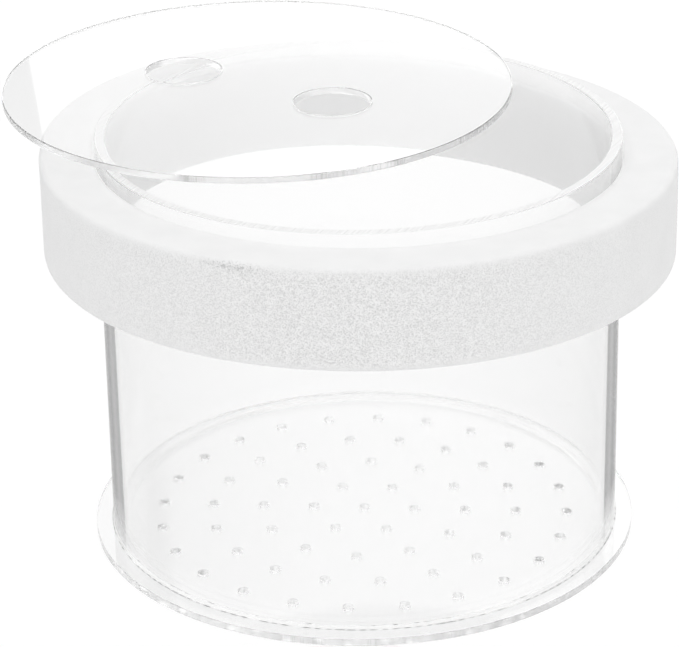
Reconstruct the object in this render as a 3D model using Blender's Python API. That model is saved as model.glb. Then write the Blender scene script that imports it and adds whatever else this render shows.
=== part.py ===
"""Floating isolation box for small fish, in metres with +Z up.

A clear acrylic tube is cemented to a drilled base plate. A foam collar pushed over the tube floats
the box, and a loose lid with two finger holes lies on the rim, pushed to the back left.
The origin is the middle of the whole box's footprint, on the plane that it stands on.
"""
import math

import bmesh
import bpy

MM = 0.001

# Tube and base plate
RIM_HEIGHT = 122 * MM
TUBE_DIAMETER = 150 * MM
TUBE_WALL = 3 * MM
BASE_DIAMETER = 160 * MM
BASE_THICKNESS = 2.2 * MM

# Drilled holes: one in the middle, then rings that each hold this many more than the ring inside them
HOLE_DIAMETER = 3 * MM
HOLE_RINGS = 4
HOLE_RING_PITCH = 15.15 * MM
HOLES_ADDED_PER_RING = 6
HOLE_PATTERN_TURN = math.radians(117.3)

# Foam collar
COLLAR_DIAMETER = 182 * MM
COLLAR_HEIGHT = 29.8 * MM
COLLAR_BELOW_RIM = 5 * MM

# Lid, where it lies from the tube's axis, and its pair of finger holes, which lies a little off its middle
LID_DIAMETER = 150 * MM
LID_THICKNESS = 2 * MM
LID_SHIFT_X = -30.6 * MM
LID_SHIFT_Y = 34.2 * MM
FINGER_HOLE_DIAMETER = 22.5 * MM
FINGER_HOLE_SPACING = 52.5 * MM
FINGER_HOLE_TURN = math.radians(-30.5)
FINGER_HOLES_OFF_MIDDLE = -2.5 * MM

# Cement bead's leg, edge radii, and the gap between pieces that touch
BEAD_LEG = 1.2 * MM
ACRYLIC_EDGE = 0.3 * MM
FOAM_EDGE = 1.2 * MM
GAP = 0.3 * MM

# Sides of the round pieces, the drilled holes and the finger holes
ROUND_SIDES = 96
DRILLED_SIDES = 12
FINGER_SIDES = 32
SHARP_ANGLE = math.radians(30)

TUBE_RADIUS = TUBE_DIAMETER / 2
TUBE_INNER_RADIUS = TUBE_RADIUS - TUBE_WALL
TUBE_FOOT = BASE_THICKNESS + GAP
COLLAR_RADIUS = COLLAR_DIAMETER / 2
LID_RADIUS = LID_DIAMETER / 2
LID_UNDERSIDE = RIM_HEIGHT + GAP


def clear_scene():
    for item in list(bpy.data.objects):
        bpy.data.objects.remove(item)


def principled(name, colour, roughness, transmission, index):
    """A material of its own for one piece."""
    made = bpy.data.materials.new(name)
    made.use_nodes = True
    shader = made.node_tree.nodes["Principled BSDF"]
    shader.inputs["Base Color"].default_value = (*colour, 1)
    shader.inputs["Roughness"].default_value = roughness
    shader.inputs["Metallic"].default_value = 0
    shader.inputs["Transmission Weight"].default_value = transmission
    shader.inputs["IOR"].default_value = index
    return made


def clear_acrylic(name):
    return principled(name, colour=(0.95, 0.97, 0.97), roughness=0.03, transmission=1, index=1.49)


def white_foam(name):
    return principled(name, colour=(0.86, 0.86, 0.86), roughness=0.9, transmission=0, index=1.45)


def add_piece(name, shape, parent, place, finish):
    """Make an object of a bmesh, shaded smooth except at its sharp edges."""
    bmesh.ops.recalc_face_normals(shape, faces=shape.faces)
    mesh = bpy.data.meshes.new(name)
    shape.to_mesh(mesh)
    shape.free()
    mesh.shade_smooth()
    mesh.set_sharp_from_angle(angle=SHARP_ANGLE)
    mesh.materials.append(finish)
    piece = bpy.data.objects.new(name, mesh)
    bpy.context.collection.objects.link(piece)
    piece.parent = parent
    piece.location = place
    return piece


def turned(outline):
    """A ring: a closed outline of (radius, height) points spun about Z."""
    shape = bmesh.new()
    points = [shape.verts.new((radius, 0, height)) for radius, height in outline]
    edges = [shape.edges.new((point, points[index - 1])) for index, point in enumerate(points)]
    bmesh.ops.spin(
        shape,
        geom=points + edges,
        axis=(0, 0, 1),
        cent=(0, 0, 0),
        angle=math.tau,
        steps=ROUND_SIDES,
        use_merge=True,
    )
    return shape


def square_section(inner, outer, height):
    return [(inner, 0), (outer, 0), (outer, height), (inner, height)]


def add_cylinder(shape, x, y, diameter, low, high, sides):
    """Add a closed cylinder standing on Z to a bmesh."""
    made = bmesh.ops.create_cone(
        shape, cap_ends=True, segments=sides, radius1=diameter / 2, radius2=diameter / 2, depth=high - low
    )
    bmesh.ops.translate(shape, verts=made["verts"], vec=(x, y, (low + high) / 2))


def disc(diameter, thickness):
    shape = bmesh.new()
    add_cylinder(shape, 0, 0, diameter, 0, thickness, ROUND_SIDES)
    return shape


def drill(piece, centres, diameter, thickness, sides):
    """Cut round holes through a plate that starts at its own origin."""
    shape = bmesh.new()
    for x, y in centres:
        add_cylinder(shape, x, y, diameter, -thickness, 2 * thickness, sides)
    cutter = add_piece(piece.name + "_cutter", shape, piece, (0, 0, 0), piece.data.materials[0])
    cutter.hide_render = True
    cutter.display_type = "WIRE"
    cut = piece.modifiers.new("Holes", "BOOLEAN")
    cut.operation = "DIFFERENCE"
    cut.solver = "EXACT"
    cut.object = cutter


def round_edges(piece, radius, segments):
    rounding = piece.modifiers.new("Edges", "BEVEL")
    rounding.width = radius
    rounding.segments = segments
    rounding.limit_method = "ANGLE"
    rounding.angle_limit = SHARP_ANGLE


def drilled_centres():
    """The middle hole, then each ring's holes, all rings starting at the same angle."""
    centres = [(0, 0)]
    for ring in range(1, HOLE_RINGS + 1):
        count = ring * HOLES_ADDED_PER_RING
        for step in range(count):
            angle = HOLE_PATTERN_TURN + math.tau * step / count
            radius = ring * HOLE_RING_PITCH
            centres.append((radius * math.cos(angle), radius * math.sin(angle)))
    return centres


def finger_hole_centres():
    reach_x = FINGER_HOLE_SPACING / 2 * math.cos(FINGER_HOLE_TURN)
    reach_y = FINGER_HOLE_SPACING / 2 * math.sin(FINGER_HOLE_TURN)
    return [(reach_x, FINGER_HOLES_OFF_MIDDLE + reach_y), (-reach_x, FINGER_HOLES_OFF_MIDDLE - reach_y)]


def middle(shift):
    """Middle of the span that the centred collar and the shifted lid cover along one axis."""
    low = min(-COLLAR_RADIUS, shift - LID_RADIUS)
    high = max(COLLAR_RADIUS, shift + LID_RADIUS)
    return (low + high) / 2


def add_tube_axis():
    """Empty on the tube's axis that carries every piece, placed so that the footprint is centred."""
    axis = bpy.data.objects.new("tube_axis", None)
    bpy.context.collection.objects.link(axis)
    axis.location = (-middle(LID_SHIFT_X), -middle(LID_SHIFT_Y), 0)
    return axis


def add_base_plate(axis):
    shape = disc(BASE_DIAMETER, BASE_THICKNESS)
    plate = add_piece("base_plate", shape, axis, (0, 0, 0), clear_acrylic("base plate acrylic"))
    round_edges(plate, ACRYLIC_EDGE, segments=1)
    drill(plate, drilled_centres(), HOLE_DIAMETER, BASE_THICKNESS, DRILLED_SIDES)


def add_tube(axis):
    section = square_section(TUBE_INNER_RADIUS, TUBE_RADIUS, RIM_HEIGHT - TUBE_FOOT)
    tube = add_piece("tube", turned(section), axis, (0, 0, TUBE_FOOT), clear_acrylic("tube acrylic"))
    round_edges(tube, ACRYLIC_EDGE, segments=1)


def add_cement_bead(axis, name, wall_radius, outward):
    """Three-sided bead in the corner between the tube's wall and the base plate."""
    near = wall_radius + outward * GAP
    far = near + outward * BEAD_LEG
    section = [(near, 0), (far, 0), (near, BEAD_LEG)]
    add_piece(name, turned(section), axis, (0, 0, TUBE_FOOT), clear_acrylic(name.replace("_", " ")))


def add_foam_collar(axis):
    section = square_section(TUBE_RADIUS + GAP, COLLAR_RADIUS, COLLAR_HEIGHT)
    height = RIM_HEIGHT - COLLAR_BELOW_RIM - COLLAR_HEIGHT
    collar = add_piece("foam_collar", turned(section), axis, (0, 0, height), white_foam("collar foam"))
    round_edges(collar, FOAM_EDGE, segments=2)


def add_lid(axis):
    place = (LID_SHIFT_X, LID_SHIFT_Y, LID_UNDERSIDE)
    lid = add_piece("lid", disc(LID_DIAMETER, LID_THICKNESS), axis, place, clear_acrylic("lid acrylic"))
    round_edges(lid, ACRYLIC_EDGE, segments=1)
    drill(lid, finger_hole_centres(), FINGER_HOLE_DIAMETER, LID_THICKNESS, FINGER_SIDES)


def main():
    clear_scene()
    axis = add_tube_axis()
    add_base_plate(axis)
    add_tube(axis)
    add_cement_bead(axis, "outer_cement_bead", TUBE_RADIUS, outward=1)
    add_cement_bead(axis, "inner_cement_bead", TUBE_INNER_RADIUS, outward=-1)
    add_foam_collar(axis)
    add_lid(axis)


main()
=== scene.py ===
"""Looks of the floating isolation box: clear acrylic tube, drilled base plate and lid, white foam collar.

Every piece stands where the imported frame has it, in metres with +Z up.
"""
import math

import bpy
from mathutils import Matrix, Vector, noise


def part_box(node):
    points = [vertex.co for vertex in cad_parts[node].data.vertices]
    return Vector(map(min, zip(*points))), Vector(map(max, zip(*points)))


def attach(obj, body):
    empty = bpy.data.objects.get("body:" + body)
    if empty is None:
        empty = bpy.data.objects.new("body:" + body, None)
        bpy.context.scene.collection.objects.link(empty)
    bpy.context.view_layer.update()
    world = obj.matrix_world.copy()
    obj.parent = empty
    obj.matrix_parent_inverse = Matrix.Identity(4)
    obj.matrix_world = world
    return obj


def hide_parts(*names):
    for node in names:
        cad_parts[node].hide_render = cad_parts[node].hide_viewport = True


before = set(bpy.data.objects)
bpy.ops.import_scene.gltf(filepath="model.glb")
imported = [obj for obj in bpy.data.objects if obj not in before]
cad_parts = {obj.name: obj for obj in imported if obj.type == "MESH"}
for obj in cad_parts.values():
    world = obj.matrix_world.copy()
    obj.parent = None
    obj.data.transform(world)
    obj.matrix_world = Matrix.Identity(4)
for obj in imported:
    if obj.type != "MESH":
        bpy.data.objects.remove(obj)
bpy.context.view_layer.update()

MM = 0.001

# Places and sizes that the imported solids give
tube_low, tube_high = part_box("tube")
base_low, base_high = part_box("base_plate")
collar_low, collar_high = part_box("foam_collar")
lid_low, lid_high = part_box("lid")
TUBE_AXIS = Vector(((tube_low.x + tube_high.x) / 2, (tube_low.y + tube_high.y) / 2, 0))
TUBE_RADIUS = (tube_high.x - tube_low.x) / 2
RIM_HEIGHT = tube_high.z
BASE_RADIUS = (base_high.x - base_low.x) / 2
BASE_TOP = base_high.z
COLLAR_RADIUS = (collar_high.x - collar_low.x) / 2
LID_RADIUS = (lid_high.x - lid_low.x) / 2
LID_PLACE = Vector(((lid_low.x + lid_high.x) / 2, (lid_low.y + lid_high.y) / 2, lid_low.z))

# Tube wall, and how round its rim and its foot are
TUBE_WALL = 3 * MM
TUBE_INNER_RADIUS = TUBE_RADIUS - TUBE_WALL
RIM_EDGE = 0.35 * MM
FOOT_EDGE = 0.05 * MM
TUBE_SIDES = 384
TUBE_ROW = 8 * MM

# Draw lines that extruding leaves in the tube, how deep the rim is sawn, and the way that the saw went
DRAW_LINE_DEPTH = 0.03 * MM
DRAW_LINES_ROUND = 9
SAWN_DEPTH = 0.1 * RIM_EDGE
SAW_TURN = math.radians(65)

# How far painted light whitens the tube's wall at its ends, how far the painted dark outline fades there, to
# what share
RIM_PAINTED_LIGHT = 14 * MM
FOOT_PAINTED_LIGHT = 6 * MM
FOOT_FADE = 16 * MM
RIM_FADE = 30 * MM
LEAST_OUTLINE = 0.15

# Drilled holes: one in the middle, then rings that each hold this many more than the ring inside them
HOLE_DIAMETER = 3 * MM
HOLE_RINGS = 4
HOLE_RING_PITCH = 15.15 * MM
HOLES_ADDED_PER_RING = 6
HOLE_PATTERN_TURN = math.radians(117.3)
HOLE_SIDES = 24

# Finger holes in the lid, a pair that lies a little off its middle
FINGER_HOLE_DIAMETER = 22.5 * MM
FINGER_HOLE_SPACING = 52.5 * MM
FINGER_HOLE_TURN = math.radians(-30.5)
FINGER_HOLES_OFF_MIDDLE = -2.5 * MM
FINGER_HOLE_SIDES = 128

# Edges of the two plates, how they are shaded, and the share of the radius past which a cut face is the rim's
BASE_EDGE = 0.1 * MM
LID_EDGE = 0.3 * MM
PLATE_RIM_SIDES = 720
PLATE_SHARP_ANGLE = math.radians(18)
RIM_SHARE = 0.97
MERGE_DISTANCE = 0.001 * MM

# Cement: the film under the tube's foot, and the beads beside it, how uneven and how hollow they are
FOOT_GAP = 0.06 * MM
BEAD_LEG = 0.5 * MM
BEAD_LEAST_LEG = 0.3 * MM
BEAD_WAVES_ROUND = 40
BEAD_HOLLOW = 0.9
BEAD_SIDES = 384

# Bubbles caught in the beads: their sizes, how far out and up they lie, and the share of them that is kept
BUBBLES_PER_BEAD = 150
BUBBLE_LENGTH = 3.2 * MM
BUBBLE_WIDTH = 0.3 * MM
BUBBLE_LEAST_LENGTH = 0.4 * BUBBLE_LENGTH
BUBBLE_LEAST_WIDTH = 0.5 * BUBBLE_WIDTH
BUBBLE_OUT = 0.5 * BEAD_LEG
BUBBLE_UP = 0.3 * BEAD_LEG
OUTER_BUBBLES_KEPT = 0.85
INNER_BUBBLES_KEPT = 0.3
OUTER_BEAD_SEED = 5
INNER_BEAD_SEED = 6

# Foam collar: gap to the tube, rounded edges, and the waves that a knife leaves in its sides
COLLAR_FIT = 0.12 * MM
FOAM_EDGE = 1.6 * MM
FOAM_SIDES = 480
FOAM_ROW = 1.2 * MM
FOAM_WAVE = 0.35 * MM
FOAM_WAVE_LENGTH = 26 * MM

# How crooked the collar is pushed on: lower at the back and on the right, and bent up under the lid
COLLAR_DROP_BACK = math.radians(1.15)
COLLAR_DROP_RIGHT = math.radians(0.63)
COLLAR_BEND = 2.2 * MM
COLLAR_BEND_ANGLE = math.radians(135)

# How far the foam's cells are cut open away from the front, in the bore and near the flats, and how deep.
# Their thinning towards the sides is partly painted light, which makes the collar's left and right ends
# lighter
OPEN_CELLS_LEAST = 0.1
OPEN_CELLS_FALL = 3
OPEN_CELLS_IN_BORE = 0.1
OPEN_CELLS_FADE = 2.5 * MM
SKIN_CELL_DEPTH = 0.02 * MM
CUT_CELL_DEPTH = 0.12 * MM

# Scuffed spot on the collar's top edge
SCUFF_ANGLE = math.radians(-109.4)
SCUFF_LENGTH = 32 * MM
SCUFF_HEIGHT = 4 * MM
SCUFF_PLACE = collar_high.z + 0.3 * MM

# Pattern sizes. Those under 1 mm are drawn as coarse as they need to be to show in the render
SAW_LINE = 0.6 * MM
SMEAR = 30 * MM
EDGE_STREAK = 0.4 * MM
STREAK_SQUEEZE = 0.03
STREAK_CLUSTER = 15 * MM
CEMENT_MILK = 2.5 * MM
AIR_PATCH = 1.5 * MM
FOAM_CELL = 0.24 * MM
FOAM_CLUMP = 9 * MM
SCUFF_PIT = 0.4 * MM
PAPER_FIBRE = 4 * MM

# How much light bends, kept low in the drilled walls, which would show too dark with acrylic's own value
ACRYLIC_IOR = 1.49
CEMENT_IOR = 1.48
DRILLED_WALL_IOR = 1.18

# Floor of studio paper, in metres, how bright it glows, and how much of what it shows is glow
FLOOR_REACH = 4
FLOOR_DROP = 0.3 * MM
PAPER_GLOW = 1.03
PAPER_GLOW_SHARE = 0.9

# Room light, white up to one height of the sky and grey from another
ROOM_WHITE_TO = 0.2
ROOM_GREY_FROM = 0.3
ROOM_GREY = 0.58

# Camera, fitted to the photograph's outlines: place round the tube's axis, lens, tilt, lean and framing
IMAGE_WIDTH = 679
CAMERA_TURN = math.radians(1.93)
CAMERA_BACK = 837.3 * MM
CAMERA_HEIGHT = 444.1 * MM
CAMERA_PIXELS_PER_UNIT = 3148.4
CAMERA_TILT = math.radians(24.536)
CAMERA_LEAN = math.radians(-0.888)
CAMERA_AXIS_RIGHT_OF_CENTRE = 21.85
SENSOR_WIDTH = 36

# Steps in a rounded corner, the bend past which an edge is shaded sharp, and the most bounces of light
ARC_STEPS = 4
SHARP_ANGLE = math.radians(40)
MOST_BOUNCES = 64


def linear(hex_colour):
    """A colour written as sRGB hex, as linear red, green, blue and alpha."""
    made = []
    for start in (0, 2, 4):
        channel = int(hex_colour[start:start + 2], 16) / 255
        made.append(channel / 12.92 if channel <= 0.04045 else ((channel + 0.055) / 1.055) ** 2.4)
    return (*made, 1)


def find(sockets, key):
    """A node's socket by its identifier, or by its name or number."""
    for socket in sockets:
        if socket.identifier == key:
            return socket
    return sockets[key]


def add_node(tree, kind, inputs=None, **settings):
    """Add a node with its settings, and link or set each input that is given."""
    node = tree.nodes.new(kind)
    for name, value in settings.items():
        setattr(node, name, value)
    for key, value in (inputs or {}).items():
        if isinstance(value, bpy.types.NodeSocket):
            tree.links.new(value, find(node.inputs, key))
        else:
            find(node.inputs, key).default_value = value
    return node


def new_material(name):
    made = bpy.data.materials.new(name)
    made.use_nodes = True
    return made, made.node_tree, made.node_tree.nodes["Principled BSDF"]


def set_stops(ramp, stops):
    """Give a ramp its stops: places, each with an sRGB hex colour or a plain level."""
    elements = ramp.color_ramp.elements
    while len(elements) < len(stops):
        elements.new(1)
    for element, (place, shade) in zip(elements, stops):
        element.position = place
        element.color = linear(shade) if isinstance(shade, str) else (shade, shade, shade, 1)


def bonded(tree, shader):
    """Where a face is cemented to its neighbour no light bends, so the ray goes straight on."""
    share = add_node(tree, "ShaderNodeAttribute", attribute_name="bonded").outputs["Fac"]
    straight = add_node(tree, "ShaderNodeBsdfRefraction", {"Color": (1, 1, 1, 1), "IOR": 1})
    mixed = add_node(tree, "ShaderNodeMixShader", {
        "Fac": share,
        "Shader": shader,
        "Shader_001": straight.outputs["BSDF"],
    })
    tree.links.new(mixed.outputs["Shader"], tree.nodes["Material Output"].inputs["Surface"])


def extruded_acrylic():
    """Extruded acrylic tube: clear from the front, with painted shade where its wall is seen along its
    length.

    Light that meets the outer 3 mm of the tube's outline is thrown back by the inner wall; that strip is
    painted as a dark line with a sharp inner edge, by how squarely the ray meets the surface. It fades near
    the foot and the rim, where the wall is painted lighter for light that comes into it. The rim is sawn: a
    pale, matt band with fine lines across it.
    """
    made, tree, shader = new_material("extruded clear acrylic")
    rim = add_node(tree, "ShaderNodeAttribute", attribute_name="rim").outputs["Fac"]
    painted_light_share = add_node(tree, "ShaderNodeAttribute", attribute_name="painted_end_light").outputs["Fac"]
    outline = add_node(tree, "ShaderNodeAttribute", attribute_name="outline").outputs["Fac"]
    place = add_node(tree, "ShaderNodeTexCoord").outputs["Object"]
    facing = add_node(tree, "ShaderNodeLayerWeight", {"Blend": 0.5}).outputs["Facing"]
    # Painted shade: the tint greys towards the tube's outline, by how squarely the ray meets the surface
    body = add_node(tree, "ShaderNodeValToRGB", {"Fac": facing})
    set_stops(body, [(0.08, "FCFCFC"), (0.48, "F7F7F7"), (0.6, "F4F4F4"), (0.71, "EBEBEB")])
    # Painted light: the wall is whitened near the rim and the foot, as if light came into it there
    wall = add_node(
        tree, "ShaderNodeMix",
        {"Factor_Float": painted_light_share, "A_Color": body.outputs["Color"], "B_Color": linear("FFFFFF")},
        data_type="RGBA",
    )
    across = add_node(
        tree, "ShaderNodeVectorMath",
        {"Vector": place, "Vector_001": (-math.sin(SAW_TURN), math.cos(SAW_TURN), 0)},
        operation="DOT_PRODUCT",
    )
    lines = add_node(
        tree, "ShaderNodeTexNoise", {"W": across.outputs["Value"], "Scale": 1 / SAW_LINE, "Detail": 3},
        noise_dimensions="1D",
    )
    sawn = add_node(tree, "ShaderNodeValToRGB", {"Fac": lines.outputs["Fac"]})
    set_stops(sawn, [(0.35, "E6E6E6"), (0.5, "F1F1F1"), (0.65, "FCFCFC")])
    tint = add_node(
        tree, "ShaderNodeMix",
        {
            "Factor_Float": rim,
            "A_Color": find(wall.outputs, "Result_Color"),
            "B_Color": sawn.outputs["Color"],
        },
        data_type="RGBA",
    )
    tree.links.new(find(tint.outputs, "Result_Color"), shader.inputs["Base Color"])
    smears = add_node(tree, "ShaderNodeTexNoise", {"Vector": place, "Scale": 1 / SMEAR, "Detail": 3})
    polish = add_node(
        tree, "ShaderNodeMapRange",
        {"Value": smears.outputs["Fac"], "From Min": 0.4, "From Max": 0.7, "To Min": 0.03, "To Max": 0.07},
    )
    rough = add_node(
        tree, "ShaderNodeMix", {"Factor_Float": rim, "A_Float": polish.outputs["Result"], "B_Float": 0.4}
    )
    tree.links.new(find(rough.outputs, "Result_Float"), shader.inputs["Roughness"])
    clear = add_node(tree, "ShaderNodeMapRange", {"Value": rim, "To Min": 1, "To Max": 0.25})
    tree.links.new(clear.outputs["Result"], shader.inputs["Transmission Weight"])
    shader.inputs["IOR"].default_value = ACRYLIC_IOR
    # Painted shade: a dark line at the tube's outline, chosen by how squarely the ray meets the surface
    strip = add_node(tree, "ShaderNodeValToRGB", {"Fac": facing})
    set_stops(strip, [
        (0.70, 0), (0.738, 0.2), (0.748, 0.9), (0.80, 0.8), (0.85, 0.95), (0.92, 0.75), (1, 0),
    ])
    inside = add_node(tree, "ShaderNodeNewGeometry").outputs["Backfacing"]
    outside = add_node(
        tree, "ShaderNodeMath", {"Value": outline, "Value_001": inside}, operation="SUBTRACT", use_clamp=True
    )
    share = add_node(
        tree, "ShaderNodeMath",
        {"Value": strip.outputs["Color"], "Value_001": outside.outputs["Value"]},
        operation="MULTIPLY",
    )
    # Painted shade: grey refraction mixed in along the outline
    dark = add_node(tree, "ShaderNodeBsdfRefraction", {"Color": linear("ADADAD"), "IOR": ACRYLIC_IOR})
    mixed = add_node(tree, "ShaderNodeMixShader", {
        "Fac": share.outputs["Value"],
        "Shader": shader.outputs["BSDF"],
        "Shader_001": dark.outputs["BSDF"],
    })
    bonded(tree, mixed.outputs["Shader"])
    return made


def cut_acrylic_sheet(
    name, clear, pale_line, dark_line, inner_rim, hole_line, hole_clear, hole_rough, hole_ior
):
    """Clear acrylic sheet cut to shape: polished faces, a rim frosted by fine upright lines, bored holes.

    The faces show little but what they mirror. The rim shows as a pale grey band with clusters of
    darker streaks, and as a thin grey line where it is seen from inside, because a frosted rim throws
    less light back. The holes' walls carry the drill's marks and show as faint grey spots or rings.
    """
    made, tree, shader = new_material(name)
    place = add_node(tree, "ShaderNodeTexCoord").outputs["Object"]
    edge = add_node(tree, "ShaderNodeAttribute", attribute_name="cut_edge").outputs["Fac"]
    bored = add_node(tree, "ShaderNodeAttribute", attribute_name="hole_wall").outputs["Fac"]
    upright = add_node(
        tree, "ShaderNodeMapping", {"Vector": place, "Scale": (1, 1, STREAK_SQUEEZE)}
    ).outputs["Vector"]
    lines = add_node(tree, "ShaderNodeTexNoise", {"Vector": upright, "Scale": 1 / EDGE_STREAK, "Detail": 1})
    clusters = add_node(
        tree, "ShaderNodeTexNoise", {"Vector": upright, "Scale": 1 / STREAK_CLUSTER, "Detail": 1}
    )
    spread = add_node(
        tree, "ShaderNodeMapRange", {"Value": clusters.outputs["Fac"], "From Min": 0.54, "From Max": 0.64}
    )
    dips = add_node(
        tree, "ShaderNodeMapRange", {"Value": lines.outputs["Fac"], "From Min": 0.5, "From Max": 0.42}
    )
    streak = add_node(
        tree, "ShaderNodeMath",
        {"Value": dips.outputs["Result"], "Value_001": spread.outputs["Result"]},
        operation="MULTIPLY",
    )
    streaks = add_node(
        tree, "ShaderNodeMix",
        {"Factor_Float": streak.outputs["Value"], "A_Color": linear(pale_line), "B_Color": linear(dark_line)},
        data_type="RGBA",
    )
    rimmed = add_node(
        tree, "ShaderNodeMix",
        {"Factor_Float": edge, "A_Color": linear(clear), "B_Color": find(streaks.outputs, "Result_Color")},
        data_type="RGBA",
    )
    drilled = add_node(
        tree, "ShaderNodeMix",
        {"Factor_Float": dips.outputs["Result"], "A_Color": linear("FFFFFF"), "B_Color": linear(hole_line)},
        data_type="RGBA",
    )
    tint = add_node(
        tree, "ShaderNodeMix",
        {
            "Factor_Float": bored,
            "A_Color": find(rimmed.outputs, "Result_Color"),
            "B_Color": find(drilled.outputs, "Result_Color"),
        },
        data_type="RGBA",
    )
    tree.links.new(find(tint.outputs, "Result_Color"), shader.inputs["Base Color"])
    rim_rough = add_node(tree, "ShaderNodeMapRange", {"Value": edge, "To Min": 0.02, "To Max": 0.15})
    rough = add_node(
        tree, "ShaderNodeMix",
        {"Factor_Float": bored, "A_Float": rim_rough.outputs["Result"], "B_Float": hole_rough},
    )
    tree.links.new(find(rough.outputs, "Result_Float"), shader.inputs["Roughness"])
    rim_clear = add_node(tree, "ShaderNodeMapRange", {"Value": edge, "To Min": 1, "To Max": 0.7})
    through = add_node(
        tree, "ShaderNodeMix",
        {"Factor_Float": bored, "A_Float": rim_clear.outputs["Result"], "B_Float": hole_clear},
    )
    tree.links.new(find(through.outputs, "Result_Float"), shader.inputs["Transmission Weight"])
    mirror = add_node(
        tree, "ShaderNodeMix",
        {"Factor_Float": edge, "A_Color": linear("FFFFFF"), "B_Color": linear(inner_rim)},
        data_type="RGBA",
    )
    tree.links.new(find(mirror.outputs, "Result_Color"), shader.inputs["Specular Tint"])
    bend = add_node(tree, "ShaderNodeMapRange", {"Value": bored, "To Min": ACRYLIC_IOR, "To Max": hole_ior})
    tree.links.new(bend.outputs["Result"], shader.inputs["IOR"])
    return made


def solvent_cement():
    """Solvent cement run into the corner and set: milky, and less smooth than the sheet."""
    made, tree, shader = new_material("set solvent cement")
    place = add_node(tree, "ShaderNodeTexCoord").outputs["Object"]
    milk = add_node(tree, "ShaderNodeTexNoise", {"Vector": place, "Scale": 1 / CEMENT_MILK, "Detail": 2})
    tint = add_node(tree, "ShaderNodeValToRGB", {"Fac": milk.outputs["Fac"]})
    set_stops(tint, [(0.35, "F6F6F6"), (0.65, "FFFFFF")])
    tree.links.new(tint.outputs["Color"], shader.inputs["Base Color"])
    rough = add_node(
        tree, "ShaderNodeMapRange", {"Value": milk.outputs["Fac"], "To Min": 0.15, "To Max": 0.03}
    )
    tree.links.new(rough.outputs["Result"], shader.inputs["Roughness"])
    shader.inputs["IOR"].default_value = CEMENT_IOR
    shader.inputs["Transmission Weight"].default_value = 0.35
    bonded(tree, shader.outputs["BSDF"])
    return made


def trapped_air():
    """Air caught in the cement shows as a broken dark line, as it turns light away. Here it bends no light,
    so the line is painted shade in its grey tint.
    """
    made, tree, shader = new_material("air trapped in cement")
    place = add_node(tree, "ShaderNodeTexCoord").outputs["Object"]
    patches = add_node(tree, "ShaderNodeTexNoise", {"Vector": place, "Scale": 1 / AIR_PATCH, "Detail": 1})
    # Painted shade: the grey tint stands for the light that the bubbles would turn away
    tint = add_node(tree, "ShaderNodeValToRGB", {"Fac": patches.outputs["Fac"]})
    set_stops(tint, [(0.35, "989898"), (0.65, "D0D0D0")])
    tree.links.new(tint.outputs["Color"], shader.inputs["Base Color"])
    shader.inputs["Roughness"].default_value = 0.05
    shader.inputs["IOR"].default_value = 1
    shader.inputs["Transmission Weight"].default_value = 1
    return made


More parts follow.
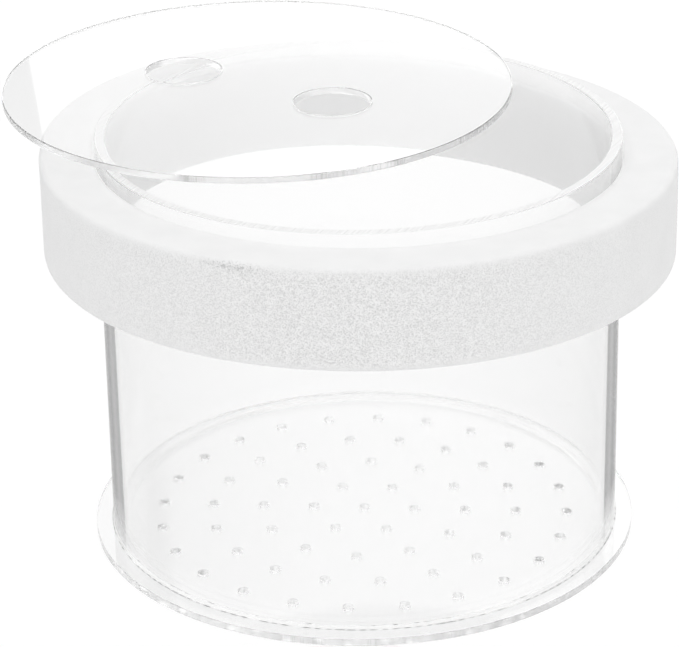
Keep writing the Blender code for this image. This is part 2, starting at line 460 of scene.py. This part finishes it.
def closed_cell_foam():
    """White closed-cell foam, with a moulded skin on its flats and knife-cut sides.

    It is matt all over. The cut opens the cells, which show as a fine grey speckle, and one spot on the
    top edge is scuffed. The bore, which the tube covers, is painted whiter: painted light for the shade it
    lies in.
    """
    made, tree, shader = new_material("knife-cut closed-cell foam")
    place = add_node(tree, "ShaderNodeTexCoord").outputs["Object"]
    cut = add_node(tree, "ShaderNodeAttribute", attribute_name="cut_face").outputs["Fac"]
    bore = add_node(tree, "ShaderNodeAttribute", attribute_name="bore").outputs["Fac"]
    cells = add_node(tree, "ShaderNodeTexVoronoi", {"Vector": place, "Scale": 1 / FOAM_CELL})
    shade = add_node(tree, "ShaderNodeSeparateColor", {"Color": cells.outputs["Color"]}).outputs["Red"]
    clumps = add_node(tree, "ShaderNodeTexNoise", {"Vector": place, "Scale": 1 / FOAM_CLUMP, "Detail": 2})
    speckle = add_node(tree, "ShaderNodeValToRGB", {"Fac": shade})
    set_stops(speckle, [(0, "D4D4D4"), (0.5, "F0F0F0"), (1, "FEFEFE")])
    skin = add_node(tree, "ShaderNodeValToRGB", {"Fac": clumps.outputs["Fac"]})
    set_stops(skin, [(0.3, "F1F1F1"), (0.7, "F4F4F4")])
    # Painted light: the bore is made whiter to lift the shade it lies in behind the tube
    painted_bore_light = add_node(
        tree, "ShaderNodeMix",
        {"Factor_Float": bore, "A_Color": skin.outputs["Color"], "B_Color": linear("F8F8F8")},
        data_type="RGBA",
    )
    colour = add_node(
        tree, "ShaderNodeMix",
        {
            "Factor_Float": cut,
            "A_Color": find(painted_bore_light.outputs, "Result_Color"),
            "B_Color": speckle.outputs["Color"],
        },
        data_type="RGBA",
    )
    spot = TUBE_AXIS + Vector((
        COLLAR_RADIUS * math.cos(SCUFF_ANGLE), COLLAR_RADIUS * math.sin(SCUFF_ANGLE), SCUFF_PLACE
    ))
    stretch = Vector((2 / SCUFF_LENGTH, 2 / SCUFF_LENGTH, 2 / SCUFF_HEIGHT))
    near = add_node(
        tree, "ShaderNodeMapping", {"Vector": place, "Location": -spot * stretch, "Scale": stretch}
    ).outputs["Vector"]
    away = add_node(tree, "ShaderNodeVectorMath", {"Vector": near}, operation="LENGTH").outputs["Value"]
    pits = add_node(tree, "ShaderNodeTexVoronoi", {"Vector": place, "Scale": 1 / SCUFF_PIT})
    pit = add_node(tree, "ShaderNodeSeparateColor", {"Color": pits.outputs["Color"]}).outputs["Green"]
    worn = add_node(tree, "ShaderNodeMath", {"Value": pit, "Value_001": away}, operation="ADD")
    scuff = add_node(
        tree, "ShaderNodeMapRange",
        {"Value": worn.outputs["Value"], "From Min": 0.9, "From Max": 0.35, "To Max": 0.45},
    )
    marked = add_node(
        tree, "ShaderNodeMix",
        {
            "Factor_Float": scuff.outputs["Result"],
            "A_Color": find(colour.outputs, "Result_Color"),
            "B_Color": linear("8C8C8C"),
        },
        data_type="RGBA",
    )
    tree.links.new(find(marked.outputs, "Result_Color"), shader.inputs["Base Color"])
    depth = add_node(
        tree, "ShaderNodeMapRange", {"Value": cut, "To Min": SKIN_CELL_DEPTH, "To Max": CUT_CELL_DEPTH}
    )
    bump = add_node(
        tree, "ShaderNodeBump",
        {"Height": cells.outputs["Distance"], "Strength": 0.5, "Distance": depth.outputs["Result"]},
    )
    tree.links.new(bump.outputs["Normal"], shader.inputs["Normal"])
    shader.inputs["Roughness"].default_value = 0.9
    shader.inputs["IOR"].default_value = 1.45
    shader.inputs["Specular IOR Level"].default_value = 0.1
    return made


def straight_run(start, end, hold, spacing):
    """Points between two rounded corners, the first and last close to them to hold their shading."""
    length = math.dist(start, end)
    free = length - 2 * hold
    count = max(1, round(free / spacing))
    points = []
    for step in range(count + 1):
        share = (hold + free * step / count) / length
        points.append((start[0] + (end[0] - start[0]) * share, start[1] + (end[1] - start[1]) * share))
    return points


def rounded_section(inner, outer, low, high, low_edge, high_edge, spacing):
    """Closed outline of a ring's wall as (radius, height) points, with rounded corners."""
    corners = [
        (outer - low_edge, low + low_edge, low_edge, -90),
        (outer - high_edge, high - high_edge, high_edge, 0),
        (inner + high_edge, high - high_edge, high_edge, 90),
        (inner + low_edge, low + low_edge, low_edge, 180),
    ]
    arcs = []
    for radius, height, edge, start in corners:
        angles = [math.radians(start + 90 * step / ARC_STEPS) for step in range(ARC_STEPS + 1)]
        arcs.append([(radius + edge * math.cos(turn), height + edge * math.sin(turn)) for turn in angles])
    outline = []
    for arc, following in zip(arcs, arcs[1:] + arcs[:1]):
        outline += arc
        outline += straight_run(arc[-1], following[0], min(low_edge, high_edge), spacing)
    return outline


def turned(name, sides, section_at):
    """Mesh turned about the tube's axis. section_at(angle) gives the outline there, always as many points."""
    points = []
    for side in range(sides):
        angle = math.tau * side / sides
        section = section_at(angle)
        for radius, height in section:
            points.append(TUBE_AXIS + Vector((radius * math.cos(angle), radius * math.sin(angle), height)))
    count = len(section)
    faces = []
    for side in range(sides):
        here = side * count
        there = (side + 1) % sides * count
        for step in range(count):
            following = (step + 1) % count
            faces.append((here + step, there + step, there + following, here + following))
    mesh = bpy.data.meshes.new(name)
    mesh.from_pydata(points, [], faces)
    mesh.shade_smooth()
    mesh.set_sharp_from_angle(angle=SHARP_ANGLE)
    return mesh


def mark(mesh, name, domain, values):
    """Give every point or face of a mesh a number that its material reads."""
    mesh.attributes.new(name, "FLOAT", domain).data.foreach_set("value", values)


def add_object(name, mesh):
    made = bpy.data.objects.new(name, mesh)
    bpy.context.scene.collection.objects.link(made)
    return made


def ride_as(piece, body, node):
    """Put a finished piece on its body, in place of its solid."""
    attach(piece, body)
    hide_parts(node)


def run_modifiers(piece):
    """Turn what the modifiers make into the piece's plain mesh, and remove them."""
    depsgraph = bpy.context.evaluated_depsgraph_get()
    made = bpy.data.meshes.new_from_object(piece.evaluated_get(depsgraph))
    piece.modifiers.clear()
    piece.data = made
    made.name = piece.name


def add_nodes_modifier(piece, tree, values):
    """Put a geometry node tree on a piece, with its inputs set by name."""
    modifier = piece.modifiers.new(tree.name, "NODES")
    modifier.node_group = tree
    for socket in tree.interface.items_tree:
        if socket.in_out == "INPUT" and socket.name in values:
            modifier[socket.identifier] = values[socket.name]


def new_geometry_tree(name, inputs):
    """An empty geometry node tree with a geometry in and out, and named inputs of the kinds given."""
    tree = bpy.data.node_groups.new(name, "GeometryNodeTree")
    tree.interface.new_socket("Geometry", in_out="OUTPUT", socket_type="NodeSocketGeometry")
    tree.interface.new_socket("Geometry", in_out="INPUT", socket_type="NodeSocketGeometry")
    for label, kind in inputs.items():
        tree.interface.new_socket(label, in_out="INPUT", socket_type=kind)
    return tree, add_node(tree, "NodeGroupInput").outputs


def drilled_plate_tree():
    """Geometry nodes for a round plate, with a hole at each vertex of the mesh that it is put on.

    The rim's faces are marked cut_edge and the holes' faces hole_wall.
    """
    tree, given = new_geometry_tree("drilled plate", {
        "Radius": "NodeSocketFloat",
        "Thickness": "NodeSocketFloat",
        "Rim sides": "NodeSocketInt",
        "Hole radius": "NodeSocketFloat",
        "Hole sides": "NodeSocketInt",
        "Material": "NodeSocketMaterial",
    })
    rim = add_node(
        tree, "GeometryNodeCurvePrimitiveCircle",
        {"Resolution": given["Rim sides"], "Radius": given["Radius"]},
    )
    hole = add_node(
        tree, "GeometryNodeCurvePrimitiveCircle",
        {"Resolution": given["Hole sides"], "Radius": given["Hole radius"]},
    )
    holes = add_node(
        tree, "GeometryNodeInstanceOnPoints", {"Points": given["Geometry"], "Instance": hole.outputs["Curve"]}
    )
    bored = add_node(tree, "GeometryNodeRealizeInstances", {"Geometry": holes.outputs["Instances"]})
    outline = add_node(tree, "GeometryNodeJoinGeometry", {"Geometry": rim.outputs["Curve"]})
    tree.links.new(bored.outputs["Geometry"], outline.inputs["Geometry"])
    face = add_node(tree, "GeometryNodeFillCurve", {"Curve": outline.outputs["Geometry"]}, mode="TRIANGLES")
    raised = add_node(
        tree, "GeometryNodeExtrudeMesh",
        {
            "Mesh": face.outputs["Mesh"],
            "Offset": (0, 0, 1),
            "Offset Scale": given["Thickness"],
            "Individual": False,
        },
    )
    spot = add_node(tree, "GeometryNodeInputPosition").outputs["Position"]
    plan = add_node(
        tree, "ShaderNodeVectorMath", {"Vector": spot, "Vector_001": (1, 1, 0)}, operation="MULTIPLY"
    )
    reach = add_node(tree, "ShaderNodeVectorMath", {"Vector": plan.outputs["Vector"]}, operation="LENGTH")
    share = add_node(
        tree, "ShaderNodeMath",
        {"Value": reach.outputs["Value"], "Value_001": given["Radius"]},
        operation="DIVIDE",
    )
    far = add_node(
        tree, "ShaderNodeMath",
        {"Value": share.outputs["Value"], "Value_001": RIM_SHARE},
        operation="GREATER_THAN",
    )
    rim_side = add_node(
        tree, "ShaderNodeMath",
        {"Value": raised.outputs["Side"], "Value_001": far.outputs["Value"]},
        operation="MULTIPLY",
    )
    hole_side = add_node(
        tree, "ShaderNodeMath",
        {"Value": raised.outputs["Side"], "Value_001": far.outputs["Value"]},
        operation="SUBTRACT", use_clamp=True,
    )
    edged = add_node(
        tree, "GeometryNodeStoreNamedAttribute",
        {"Geometry": raised.outputs["Mesh"], "Name": "cut_edge", "Value": rim_side.outputs["Value"]},
        data_type="FLOAT", domain="FACE",
    )
    marked = add_node(
        tree, "GeometryNodeStoreNamedAttribute",
        {"Geometry": edged.outputs["Geometry"], "Name": "hole_wall", "Value": hole_side.outputs["Value"]},
        data_type="FLOAT", domain="FACE",
    )
    under = add_node(tree, "GeometryNodeFlipFaces", {"Mesh": face.outputs["Mesh"]})
    both = add_node(tree, "GeometryNodeJoinGeometry", {"Geometry": under.outputs["Mesh"]})
    tree.links.new(marked.outputs["Geometry"], both.inputs["Geometry"])
    closed = add_node(
        tree, "GeometryNodeMergeByDistance",
        {"Geometry": both.outputs["Geometry"], "Distance": MERGE_DISTANCE},
    )
    whole = add_node(tree, "GeometryNodeRealizeInstances", {"Geometry": closed.outputs["Geometry"]})
    finished = add_node(
        tree, "GeometryNodeSetMaterial",
        {"Geometry": whole.outputs["Geometry"], "Material": given["Material"]},
    )
    add_node(tree, "NodeGroupOutput", {"Geometry": finished.outputs["Geometry"]})
    return tree


def bubble_ring_tree():
    """Geometry nodes for long bubbles spread at random along the front half of a ring."""
    tree, given = new_geometry_tree("bubbles along a seam", {
        "Radius": "NodeSocketFloat",
        "Count": "NodeSocketInt",
        "Least size": "NodeSocketVector",
        "Most size": "NodeSocketVector",
        "Share kept": "NodeSocketFloat",
        "Seed": "NodeSocketInt",
        "Material": "NodeSocketMaterial",
    })
    seam = add_node(
        tree, "GeometryNodeCurvePrimitiveCircle", {"Resolution": given["Count"], "Radius": given["Radius"]}
    )
    spots = add_node(
        tree, "GeometryNodeCurveToPoints",
        {"Curve": seam.outputs["Curve"], "Count": given["Count"]},
        mode="COUNT",
    )
    spot = add_node(tree, "GeometryNodeInputPosition").outputs["Position"]
    depth = add_node(tree, "ShaderNodeSeparateXYZ", {"Vector": spot}).outputs["Y"]
    front = add_node(tree, "FunctionNodeCompare", {"A": depth, "B": 0}, operation="LESS_THAN")
    kept = add_node(
        tree, "FunctionNodeRandomValue", {"Probability": given["Share kept"], "Seed": given["Seed"]},
        data_type="BOOLEAN",
    )
    chosen = add_node(
        tree, "FunctionNodeBooleanMath",
        {"Boolean": front.outputs["Result"], "Boolean_001": find(kept.outputs, "Value_003")},
        operation="AND",
    )
    size = add_node(
        tree, "FunctionNodeRandomValue",
        {"Min": given["Least size"], "Max": given["Most size"], "Seed": given["Seed"]},
        data_type="FLOAT_VECTOR",
    )
    bubble = add_node(tree, "GeometryNodeMeshIcoSphere", {"Radius": 0.5, "Subdivisions": 2})
    spread = add_node(
        tree, "GeometryNodeInstanceOnPoints",
        {
            "Points": spots.outputs["Points"],
            "Selection": chosen.outputs["Boolean"],
            "Instance": bubble.outputs["Mesh"],
            "Rotation": spots.outputs["Rotation"],
            "Scale": find(size.outputs, "Value"),
        },
    )
    whole = add_node(tree, "GeometryNodeRealizeInstances", {"Geometry": spread.outputs["Instances"]})
    hollow = add_node(tree, "GeometryNodeFlipFaces", {"Mesh": whole.outputs["Geometry"]})
    finished = add_node(
        tree, "GeometryNodeSetMaterial", {"Geometry": hollow.outputs["Mesh"], "Material": given["Material"]}
    )
    add_node(tree, "NodeGroupOutput", {"Geometry": finished.outputs["Geometry"]})
    return tree


def add_plate(name, tree, centres, place, edge, values):
    """A round plate with holes at the given centres, its edges rounded, at its place."""
    mesh = bpy.data.meshes.new(name)
    mesh.from_pydata([(x, y, 0) for x, y in centres], [], [])
    plate = add_object(name, mesh)
    add_nodes_modifier(plate, tree, values)
    rounding = plate.modifiers.new("Rounded edges", "BEVEL")
    rounding.width = edge
    rounding.segments = 2
    rounding.limit_method = "ANGLE"
    run_modifiers(plate)
    plate.data.shade_smooth()
    plate.data.set_sharp_from_angle(angle=PLATE_SHARP_ANGLE)
    plate.data.transform(Matrix.Translation(place))
    return plate


def drilled_centres():
    """The middle hole, then each ring's holes, all rings starting at the same angle."""
    centres = [(0, 0)]
    for ring in range(1, HOLE_RINGS + 1):
        count = ring * HOLES_ADDED_PER_RING
        for step in range(count):
            angle = HOLE_PATTERN_TURN + math.tau * step / count
            radius = ring * HOLE_RING_PITCH
            centres.append((radius * math.cos(angle), radius * math.sin(angle)))
    return centres


def finger_hole_centres():
    reach_x = FINGER_HOLE_SPACING / 2 * math.cos(FINGER_HOLE_TURN)
    reach_y = FINGER_HOLE_SPACING / 2 * math.sin(FINGER_HOLE_TURN)
    return [(reach_x, FINGER_HOLES_OFF_MIDDLE + reach_y), (-reach_x, FINGER_HOLES_OFF_MIDDLE - reach_y)]


def add_base_plate(tree):
    # The base's clear tint, greyer than the lid's, is partly the sheet's own and partly painted shade for the
    # floor under the tank
    finish = cut_acrylic_sheet(
        "cut acrylic sheet, base", clear="F7F7F7", pale_line="EAEAEA", dark_line="D8D8D8", inner_rim="DCDCDC",
        hole_line="FCFCFC", hole_clear=1, hole_rough=0.35, hole_ior=DRILLED_WALL_IOR,
    )
    place = TUBE_AXIS + Vector((0, 0, base_low.z))
    plate = add_plate("base_disc", tree, drilled_centres(), place, BASE_EDGE, {
        "Radius": BASE_RADIUS,
        "Thickness": base_high.z - base_low.z,
        "Rim sides": PLATE_RIM_SIDES,
        "Hole radius": HOLE_DIAMETER / 2,
        "Hole sides": HOLE_SIDES,
        "Material": finish,
    })
    ride_as(plate, "tank", "base_plate")


def add_lid(tree):
    finish = cut_acrylic_sheet(
        "cut acrylic sheet, lid", clear="FEFEFE", pale_line="F6F6F6", dark_line="D8D8D8", inner_rim="B8B8B8",
        hole_line="FEFEFE", hole_clear=0.5, hole_rough=0.05, hole_ior=ACRYLIC_IOR,
    )
    lid = add_plate("lid_disc", tree, finger_hole_centres(), LID_PLACE, LID_EDGE, {
        "Radius": LID_RADIUS,
        "Thickness": lid_high.z - lid_low.z,
        "Rim sides": PLATE_RIM_SIDES,
        "Hole radius": FINGER_HOLE_DIAMETER / 2,
        "Hole sides": FINGER_HOLE_SIDES,
        "Material": finish,
    })
    ride_as(lid, "lid", "lid")


def ring_noise(angle, waves, seed):
    """Smooth noise from 0 to 1 round a full turn, with about this many waves."""
    reach = waves / math.tau
    return 0.5 + 0.5 * noise.noise(Vector((reach * math.cos(angle), reach * math.sin(angle), seed)))


def painted_outline_share(height):
    """How much of the tube's painted dark outline shows at a height: all of it away from the foot and the
    rim.
    """
    from_foot = (height - BASE_TOP) / FOOT_FADE
    from_rim = (RIM_HEIGHT - height) / RIM_FADE
    return max(LEAST_OUTLINE, min(1, from_foot, from_rim))


def painted_end_light(height):
    """How much painted light, for light from the rim or the foot, whitens the tube's wall at a height."""
    from_rim = (RIM_HEIGHT - height) / RIM_PAINTED_LIGHT
    from_foot = (height - BASE_TOP) / FOOT_PAINTED_LIGHT
    return max(0, 1 - from_rim, 1 - from_foot)


def add_tube():
    middle = TUBE_RADIUS - TUBE_WALL / 2
    outline = rounded_section(
        TUBE_INNER_RADIUS, TUBE_RADIUS, BASE_TOP + FOOT_GAP, RIM_HEIGHT, FOOT_EDGE, RIM_EDGE, TUBE_ROW
    )

    def section_at(angle):
        section = []
        for radius, height in outline:
            wall = 1 if radius > middle else -1
            line = DRAW_LINE_DEPTH * ring_noise(angle, DRAW_LINES_ROUND, wall)
            section.append((radius - wall * line, height))
        return section

    mesh = turned("tube_wall", TUBE_SIDES, section_at)
    # Painted shade of the dark outline, by height
    dark = [painted_outline_share(height) if radius > middle else 0 for radius, height in outline]
    # Painted light near the rim and the foot
    painted_light_share = [painted_end_light(height) for radius, height in outline]
    rim = []
    foot = []
    for here, there in zip(outline, outline[1:] + outline[:1]):
        height = (here[1] + there[1]) / 2
        rim.append(1 if height > RIM_HEIGHT - SAWN_DEPTH else 0)
        foot.append(1 if height < BASE_TOP + FOOT_GAP + FOOT_EDGE else 0)
    mark(mesh, "outline", "POINT", dark * TUBE_SIDES)
    mark(mesh, "painted_end_light", "POINT", painted_light_share * TUBE_SIDES)
    mark(mesh, "rim", "FACE", rim * TUBE_SIDES)
    mark(mesh, "bonded", "FACE", foot * TUBE_SIDES)
    tube = add_object("tube_wall", mesh)
    tube.data.materials.append(extruded_acrylic())
    ride_as(tube, "tank", "tube")


def add_cement_bead(name, node, wall_radius, outward, tree, finish, air, share_kept, seed):
    """Hollow-faced bead in the corner between the tube's wall and the base plate, with bubbles in it."""
    low = BASE_TOP + FOOT_GAP

    def section_at(angle):
        leg = BEAD_LEAST_LEG + (BEAD_LEG - BEAD_LEAST_LEG) * ring_noise(angle, BEAD_WAVES_ROUND, seed)
        near = wall_radius + outward * FOOT_GAP
        section = [(near, low)]
        for step in range(ARC_STEPS + 1):
            turn = math.pi / 2 * step / ARC_STEPS
            radius = near + outward * leg * (1 - BEAD_HOLLOW * math.sin(turn))
            section.append((radius, low + leg * (1 - BEAD_HOLLOW * math.cos(turn))))
        return section[::outward]

    corner = 0 if outward > 0 else ARC_STEPS + 1
    sides = [1 if corner in (step, (step + 1) % (ARC_STEPS + 2)) else 0 for step in range(ARC_STEPS + 2)]
    bead = add_object(name, turned(name, BEAD_SIDES, section_at))
    bead.data.materials.append(finish)
    bubbles = add_object(name + "_bubbles", bpy.data.meshes.new(name + "_bubbles"))
    add_nodes_modifier(bubbles, tree, {
        "Radius": wall_radius + outward * BUBBLE_OUT,
        "Count": BUBBLES_PER_BEAD,
        "Least size": (BUBBLE_LEAST_WIDTH, BUBBLE_LEAST_WIDTH, BUBBLE_LEAST_LENGTH),
        "Most size": (BUBBLE_WIDTH, BUBBLE_WIDTH, BUBBLE_LENGTH),
        "Share kept": share_kept,
        "Seed": seed,
        "Material": air,
    })
    run_modifiers(bubbles)
    bubbles.data.transform(Matrix.Translation(TUBE_AXIS + Vector((0, 0, low + BUBBLE_UP))))
    mark(bead.data, "bonded", "FACE", sides * BEAD_SIDES)
    ride_as(bead, "tank", node)
    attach(bubbles, "tank")


def add_foam_collar():
    """Ring cut from foam sheet: soft edges, sides a little wavy from the knife, flats left as moulded.

    Its flats lean, as it is pushed on a little crooked, and its bore stays on the tube.
    """
    bore = TUBE_RADIUS + COLLAR_FIT
    outline = rounded_section(
        bore, COLLAR_RADIUS, collar_low.z, collar_high.z, FOAM_EDGE, FOAM_EDGE, FOAM_ROW
    )

    def section_at(angle):
        section = []
        for radius, height in outline:
            right = radius * math.cos(angle)
            back = radius * math.sin(angle)
            share = (radius - bore) / (COLLAR_RADIUS - bore)
            waviness = noise.noise(Vector((right, back, height)) / FOAM_WAVE_LENGTH)
            wave = FOAM_WAVE * share * (0.5 + 0.5 * waviness)
            drop = right * math.tan(COLLAR_DROP_RIGHT) + back * math.tan(COLLAR_DROP_BACK)
            bend = COLLAR_BEND * max(0, math.cos(angle - COLLAR_BEND_ANGLE)) ** 2
            section.append((radius - wave, height - drop + bend))
        return section

    mesh = turned("foam_ring", FOAM_SIDES, section_at)
    cut = []
    for side in range(FOAM_SIDES):
        # Open cells thin out away from the front: partly real open cells, partly painted light that lightens
        # the collar's left and right ends
        front = max(0, -math.sin(math.tau * side / FOAM_SIDES))
        outside = OPEN_CELLS_LEAST + (1 - OPEN_CELLS_LEAST) * front ** OPEN_CELLS_FALL
        for radius, height in outline:
            from_flat = min(height - collar_low.z, collar_high.z - height)
            share = outside if radius > TUBE_RADIUS + FOAM_EDGE else OPEN_CELLS_IN_BORE
            cut.append(share * min(1, max(0, from_flat / OPEN_CELLS_FADE)))
    inside = [1 if radius < TUBE_RADIUS + FOAM_EDGE / 2 else 0 for radius, height in outline]
    mark(mesh, "cut_face", "POINT", cut)
    mark(mesh, "bore", "POINT", inside * FOAM_SIDES)
    collar = add_object("foam_ring", mesh)
    collar.data.materials.append(closed_cell_foam())
    ride_as(collar, "collar", "foam_collar")


def shown_rays(tree):
    """1 for rays that show the stage straight, in a mirror or through clear acrylic, and 0 for the rest."""
    ray = add_node(tree, "ShaderNodeLightPath").outputs
    first = add_node(
        tree, "ShaderNodeMath",
        {"Value": ray["Is Camera Ray"], "Value_001": ray["Is Glossy Ray"]},
        operation="MAXIMUM",
    )
    both = add_node(
        tree, "ShaderNodeMath",
        {"Value": first.outputs["Value"], "Value_001": ray["Is Transmission Ray"]},
        operation="MAXIMUM",
    )
    return both.outputs["Value"]


def white_paper_floor():
    """Studio paper lit from below to a plain white, with a share of plain shading that keeps the shadow."""
    made = bpy.data.materials.new("white studio paper")
    made.use_nodes = True
    tree = made.node_tree
    tree.nodes.clear()
    place = add_node(tree, "ShaderNodeTexCoord").outputs["Object"]
    fibre = add_node(tree, "ShaderNodeTexNoise", {"Vector": place, "Scale": 1 / PAPER_FIBRE, "Detail": 3})
    paper = add_node(tree, "ShaderNodeValToRGB", {"Fac": fibre.outputs["Fac"]})
    set_stops(paper, [(0.3, "F4F4F4"), (0.7, "F8F8F8")])
    shaded = add_node(tree, "ShaderNodeBsdfDiffuse", {"Color": paper.outputs["Color"]})
    glow = add_node(tree, "ShaderNodeEmission", {"Color": (1, 1, 1, 1), "Strength": PAPER_GLOW})
    share = add_node(
        tree, "ShaderNodeMath", {"Value": shown_rays(tree), "Value_001": PAPER_GLOW_SHARE},
        operation="MULTIPLY",
    )
    mixed = add_node(tree, "ShaderNodeMixShader", {
        "Fac": share.outputs["Value"],
        "Shader": shaded.outputs["BSDF"],
        "Shader_001": glow.outputs["Emission"],
    })
    add_node(tree, "ShaderNodeOutputMaterial", {"Surface": mixed.outputs["Shader"]})
    return made


def add_floor():
    mesh = bpy.data.meshes.new("floor")
    corners = []
    for x, y in ((-1, -1), (1, -1), (1, 1), (-1, 1)):
        corners.append((x * FLOOR_REACH, y * FLOOR_REACH, -FLOOR_DROP))
    mesh.from_pydata(corners, [], [(0, 1, 2, 3)])
    mesh.materials.append(white_paper_floor())
    add_object("floor", mesh)


def add_world():
    """Soft room light, white near the horizon, where it backs the floor, and greyer above."""
    world = bpy.data.worlds.new("studio")
    world.use_nodes = True
    bpy.context.scene.world = world
    tree = world.node_tree
    tree.nodes.clear()
    direction = add_node(tree, "ShaderNodeTexCoord").outputs["Generated"]
    height = add_node(tree, "ShaderNodeSeparateXYZ", {"Vector": direction}).outputs["Z"]
    level = add_node(
        tree, "ShaderNodeMapRange",
        {
            "Value": height,
            "From Min": ROOM_WHITE_TO,
            "From Max": ROOM_GREY_FROM,
            "To Min": 1,
            "To Max": ROOM_GREY,
        },
    )
    light = add_node(tree, "ShaderNodeBackground", {"Color": level.outputs["Result"], "Strength": 1})
    add_node(tree, "ShaderNodeOutputWorld", {"Surface": light.outputs["Background"]})


def add_softbox(name, place, aim, width, height, radiance, lean=0):
    """A lamp that shines from a rectangle, as bright to look at as the number says."""
    lamp = bpy.data.lights.new(name, "AREA")
    lamp.shape = "RECTANGLE"
    lamp.size = width
    lamp.size_y = height
    lamp.energy = radiance * math.pi * width * height
    box = bpy.data.objects.new(name, lamp)
    box.location = place
    towards = (Vector(aim) - Vector(place)).to_track_quat("-Z", "Y").to_matrix()
    box.rotation_euler = (towards @ Matrix.Rotation(lean, 3, "Z")).to_euler()
    box.visible_camera = False
    bpy.context.scene.collection.objects.link(box)
    return lamp


def grade_softbox(lamp, left, right):
    """Let a lamp's level run from one share to another across its width, as its back is seen."""
    lamp.use_nodes = True
    tree = lamp.node_tree
    spot = add_node(tree, "ShaderNodeNewGeometry").outputs["Parametric"]
    across = add_node(tree, "ShaderNodeSeparateXYZ", {"Vector": spot}).outputs["X"]
    level = add_node(tree, "ShaderNodeMapRange", {"Value": across, "To Min": right, "To Max": left})
    tree.links.new(level.outputs["Result"], tree.nodes["Emission"].inputs["Strength"])


def add_lights():
    add_world()
    add_softbox("overhead_softbox", place=(0, -0.1, 1.5), aim=(0, 0, 0), width=2, height=2, radiance=0.86)
    add_softbox("front_softbox", place=(0.1, -2.2, 0.9), aim=(0, 0, 0.1), width=6, height=1.2, radiance=0.4)
    back = add_softbox(
        "back_softbox", place=(0.268, 1, 0.433), aim=(0.268, 0, 0.433), width=1, height=0.6, radiance=1,
        lean=math.radians(6.5),
    )
    grade_softbox(back, left=0.5, right=1.45)


def add_camera():
    """The photograph's view."""
    lens = bpy.data.cameras.new("camera")
    lens.sensor_fit = "HORIZONTAL"
    lens.sensor_width = SENSOR_WIDTH
    lens.lens = CAMERA_PIXELS_PER_UNIT / IMAGE_WIDTH * SENSOR_WIDTH
    lens.shift_x = -CAMERA_AXIS_RIGHT_OF_CENTRE / IMAGE_WIDTH
    lens.clip_start = 0.01
    lens.clip_end = 50
    camera = bpy.data.objects.new("camera", lens)
    turn = Matrix.Translation(TUBE_AXIS) @ Matrix.Rotation(CAMERA_TURN, 4, "Z")
    tilt = Matrix.Rotation(math.pi / 2 - CAMERA_TILT, 4, "X") @ Matrix.Rotation(CAMERA_LEAN, 4, "Z")
    camera.matrix_world = turn @ Matrix.Translation((0, -CAMERA_BACK, CAMERA_HEIGHT)) @ tilt
    bpy.context.scene.collection.objects.link(camera)
    bpy.context.scene.camera = camera


def set_render():
    """Plain colours, and enough unblurred bounces for light that runs along inside a clear wall."""
    scene = bpy.context.scene
    scene.view_settings.view_transform = "Standard"
    scene.cycles.max_bounces = MOST_BOUNCES
    scene.cycles.glossy_bounces = MOST_BOUNCES
    scene.cycles.transmission_bounces = MOST_BOUNCES
    scene.cycles.blur_glossy = 0


def main():
    add_camera()
    plate_tree = drilled_plate_tree()
    bubble_tree = bubble_ring_tree()
    cement = solvent_cement()
    air = trapped_air()
    add_tube()
    add_base_plate(plate_tree)
    add_cement_bead(
        "outer_bead", "outer_cement_bead", TUBE_RADIUS, 1, bubble_tree, cement, air,
        OUTER_BUBBLES_KEPT, OUTER_BEAD_SEED,
    )
    add_cement_bead(
        "inner_bead", "inner_cement_bead", TUBE_INNER_RADIUS, -1, bubble_tree, cement, air,
        INNER_BUBBLES_KEPT, INNER_BEAD_SEED,
    )
    add_foam_collar()
    add_lid(plate_tree)
    add_floor()
    add_lights()
    set_render()


main()
